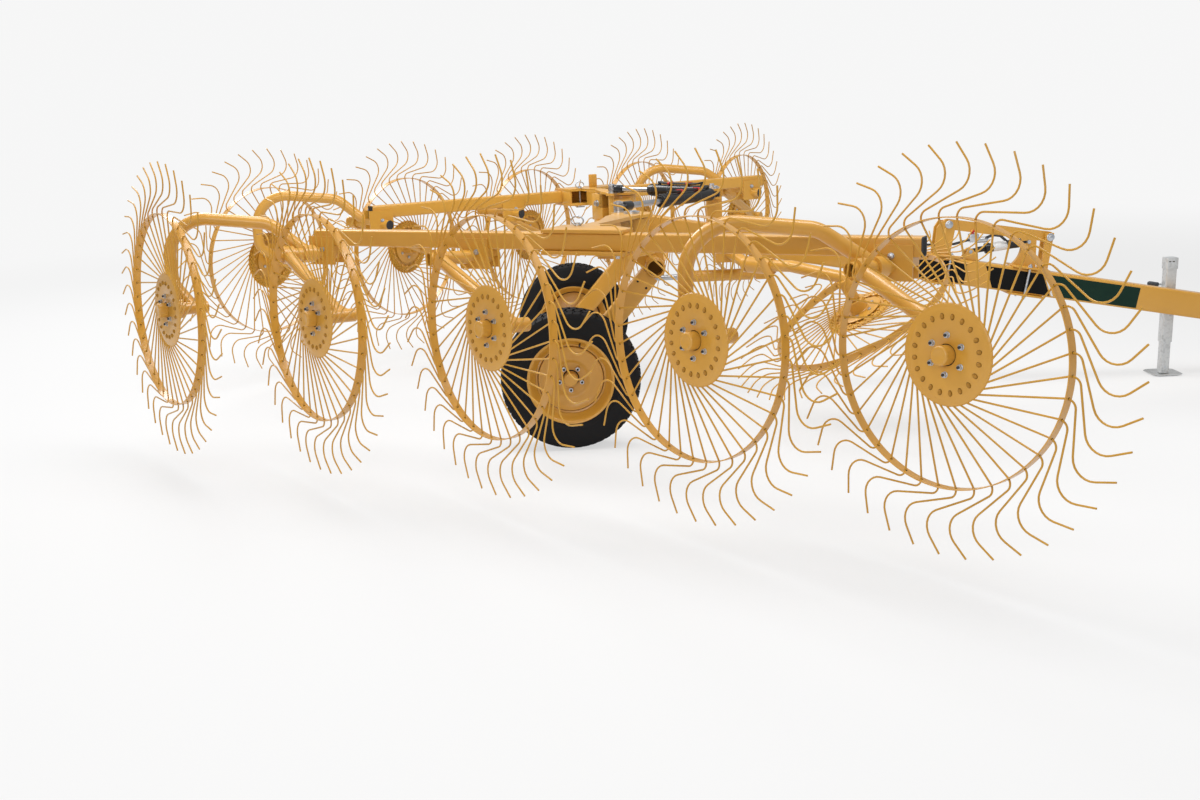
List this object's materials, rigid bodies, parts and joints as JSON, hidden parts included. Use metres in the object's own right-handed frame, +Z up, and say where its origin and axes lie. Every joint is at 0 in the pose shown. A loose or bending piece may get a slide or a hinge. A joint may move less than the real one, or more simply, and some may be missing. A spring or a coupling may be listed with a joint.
{
  "type": "carted wheel rake",
  "caption": "Towed V-shaped hay rake with spring-tine finger wheels on two spread arms, a raised centre wheel, transport wheels on drop legs and a jack.",
  "frame": {"origin": "floor level under the middle of the overall box, on the machine's centre plane", "axes": "+X forward to the hitch, +Y to the machine's left, +Z up"},
  "size_m": [6.4447, 6.6164, 1.4728],
  "materials": {
    "yellow_paint": "gloss",
    "tyre_rubber": "matte",
    "galvanised": "satin",
    "zinc": "satin",
    "black_paint": "gloss",
    "chrome_rod": "polished"
  },
  "bodies": {
    "frame": {"cross_frame": "yellow_paint", "tongue": "yellow_paint", "hitch_clevis": "yellow_paint", "jack_post": "galvanised", "fold_stand": "yellow_paint", "lift_bracket": "yellow_paint", "centre_bracket": "yellow_paint", "linkage": "yellow_paint"},
    "legs": {"leg_right": "yellow_paint", "leg_left": "yellow_paint", "leg_pivot_tube": "yellow_paint"},
    "wheel_right": {"tyre_right": "tyre_rubber", "rim_right": "yellow_paint"},
    "wheel_left": {"tyre_left": "tyre_rubber", "rim_left": "yellow_paint"},
    "arm_right": {"beam_right": "yellow_paint", "carrier_right": "yellow_paint", "kingpin_right": "zinc", "pivot_pipes_right": "yellow_paint", "gooseneck_rear_right": "yellow_paint", "gooseneck_front_right": "yellow_paint", "straight_arms_right": "yellow_paint", "fold_lug_right": "zinc"},
    "arm_left": {"beam_left": "yellow_paint", "carrier_left": "yellow_paint", "kingpin_left": "zinc", "pivot_pipes_left": "yellow_paint", "gooseneck_rear_left": "yellow_paint", "gooseneck_front_left": "yellow_paint", "straight_arms_left": "yellow_paint", "fold_lug_left": "zinc"},
    "rake_right_1": {"rake_wheel_right_1": "yellow_paint"},
    "rake_right_2": {"rake_wheel_right_2": "yellow_paint"},
    "rake_right_3": {"rake_wheel_right_3": "yellow_paint"},
    "rake_right_4": {"rake_wheel_right_4": "yellow_paint"},
    "rake_right_5": {"rake_wheel_right_5": "yellow_paint"},
    "rake_left_1": {"rake_wheel_left_1": "yellow_paint"},
    "rake_left_2": {"rake_wheel_left_2": "yellow_paint"},
    "rake_left_3": {"rake_wheel_left_3": "yellow_paint"},
    "rake_left_4": {"rake_wheel_left_4": "yellow_paint"},
    "rake_left_5": {"rake_wheel_left_5": "yellow_paint"},
    "centre_arm": {"centre_arm": "yellow_paint"},
    "centre_wheel": {"centre_wheel": "yellow_paint"},
    "jack_slide": {"jack_leg": "galvanised"},
    "fold_cylinder_right": {"fold_barrel_right": "black_paint"},
    "fold_piston_right": {"fold_rod_right": "chrome_rod"},
    "fold_cylinder_left": {"fold_barrel_left": "black_paint"},
    "fold_piston_left": {"fold_rod_left": "chrome_rod"},
    "lift_cylinder": {"lift_cylinder": "yellow_paint"},
    "lift_piston": {"lift_piston": "chrome_rod"}
  },
  "joints": [
    {"name": "legs_lift", "type": "hinge", "parent": "frame", "child": "legs", "pos_m": [-0.464, 0, 0.845], "axis": [0, 1, 0], "range_deg": [0, 22]},
    {"name": "wheel_right_roll", "type": "hinge", "parent": "legs", "child": "wheel_right", "pos_m": [-0.904, -0.8815, 0.344], "axis": [0, 1, 0], "continuous": true},
    {"name": "wheel_left_roll", "type": "hinge", "parent": "legs", "child": "wheel_left", "pos_m": [-0.904, 0.8815, 0.344], "axis": [0, 1, 0], "continuous": true},
    {"name": "arm_right_fold", "type": "hinge", "parent": "frame", "child": "arm_right", "pos_m": [-0.574, -0.8, 1.03], "axis": [0, 0, 1], "range_deg": [0, 30]},
    {"name": "arm_left_fold", "type": "hinge", "parent": "frame", "child": "arm_left", "pos_m": [-0.574, 0.8, 1.03], "axis": [0, 0, -1], "range_deg": [0, 30]},
    {"name": "rake_right_1_spin", "type": "hinge", "parent": "arm_right", "child": "rake_right_1", "pos_m": [-2.8, -0.972, 0.78], "axis": [0.7976, 0.601, -0.0506], "continuous": true},
    {"name": "rake_right_2_spin", "type": "hinge", "parent": "arm_right", "child": "rake_right_2", "pos_m": [-2.0032, -1.41732, 0.78], "axis": [0.7976, 0.601, -0.0506], "continuous": true},
    {"name": "rake_right_3_spin", "type": "hinge", "parent": "arm_right", "child": "rake_right_3", "pos_m": [-1.20639, -1.86264, 0.78], "axis": [0.7976, 0.601, -0.0506], "continuous": true},
    {"name": "rake_right_4_spin", "type": "hinge", "parent": "arm_right", "child": "rake_right_4", "pos_m": [-0.40959, -2.30796, 0.78], "axis": [0.7976, 0.601, -0.0506], "continuous": true},
    {"name": "rake_right_5_spin", "type": "hinge", "parent": "arm_right", "child": "rake_right_5", "pos_m": [0.38721, -2.75327, 0.78], "axis": [0.7976, 0.601, -0.0506], "continuous": true},
    {"name": "rake_left_1_spin", "type": "hinge", "parent": "arm_left", "child": "rake_left_1", "pos_m": [-2.8, 0.972, 0.78], "axis": [0.7976, -0.601, -0.0506], "continuous": true},
    {"name": "rake_left_2_spin", "type": "hinge", "parent": "arm_left", "child": "rake_left_2", "pos_m": [-2.0032, 1.41732, 0.78], "axis": [0.7976, -0.601, -0.0506], "continuous": true},
    {"name": "rake_left_3_spin", "type": "hinge", "parent": "arm_left", "child": "rake_left_3", "pos_m": [-1.20639, 1.86264, 0.78], "axis": [0.7976, -0.601, -0.0506], "continuous": true},
    {"name": "rake_left_4_spin", "type": "hinge", "parent": "arm_left", "child": "rake_left_4", "pos_m": [-0.40959, 2.30796, 0.78], "axis": [0.7976, -0.601, -0.0506], "continuous": true},
    {"name": "rake_left_5_spin", "type": "hinge", "parent": "arm_left", "child": "rake_left_5", "pos_m": [0.38721, 2.75327, 0.78], "axis": [0.7976, -0.601, -0.0506], "continuous": true},
    {"name": "centre_arm_swing", "type": "hinge", "parent": "frame", "child": "centre_arm", "pos_m": [0.09813, -0.45112, 0.799], "axis": [0.6428, -0.766, 0], "range_deg": [0, 60]},
    {"name": "centre_wheel_spin", "type": "hinge", "parent": "centre_arm", "child": "centre_wheel", "pos_m": [0.538, -0.8, 0.599], "axis": [-0.5018, -0.1458, 0.8526], "continuous": true},
    {"name": "jack_extend", "type": "slide", "parent": "frame", "child": "jack_slide", "axis": [0, 0, 1], "range_m": [0, 0.17]},
    {"name": "fold_cylinder_right_swing", "type": "hinge", "parent": "frame", "child": "fold_cylinder_right", "pos_m": [-0.094, -0.095, 1.15], "axis": [0, 0, 1], "range_deg": [-0.414, 0]},
    {"name": "fold_piston_right_slide", "type": "slide", "parent": "fold_cylinder_right", "child": "fold_piston_right", "axis": [-0.6683, -0.7439, 0], "range_m": [0, 0.06203]},
    {"name": "fold_cylinder_left_swing", "type": "hinge", "parent": "frame", "child": "fold_cylinder_left", "pos_m": [-0.094, 0.095, 1.15], "axis": [0, 0, -1], "range_deg": [-0.414, 0]},
    {"name": "fold_piston_left_slide", "type": "slide", "parent": "fold_cylinder_left", "child": "fold_piston_left", "axis": [-0.6683, 0.7439, 0], "range_m": [0, 0.06203]},
    {"name": "lift_cylinder_swing", "type": "hinge", "parent": "frame", "child": "lift_cylinder", "pos_m": [0.156, 0, 0.695], "axis": [0, 1, 0], "range_deg": [0, 0.774]},
    {"name": "lift_piston_slide", "type": "slide", "parent": "lift_cylinder", "child": "lift_piston", "axis": [-1, 0, 0], "range_m": [0, 0.05628]}
  ],
  "couplings": [
    {"joint": "fold_cylinder_right_swing", "follows": "arm_right_fold", "ratio": -0.0138},
    {"joint": "fold_piston_right_slide", "follows": "arm_right_fold", "m_per_rad": 0.11848},
    {"joint": "fold_cylinder_left_swing", "follows": "arm_left_fold", "ratio": -0.0138},
    {"joint": "fold_piston_left_slide", "follows": "arm_left_fold", "m_per_rad": 0.11848},
    {"joint": "lift_cylinder_swing", "follows": "legs_lift", "ratio": 0.035182},
    {"joint": "lift_piston_slide", "follows": "legs_lift", "m_per_rad": 0.14657}
  ]
}
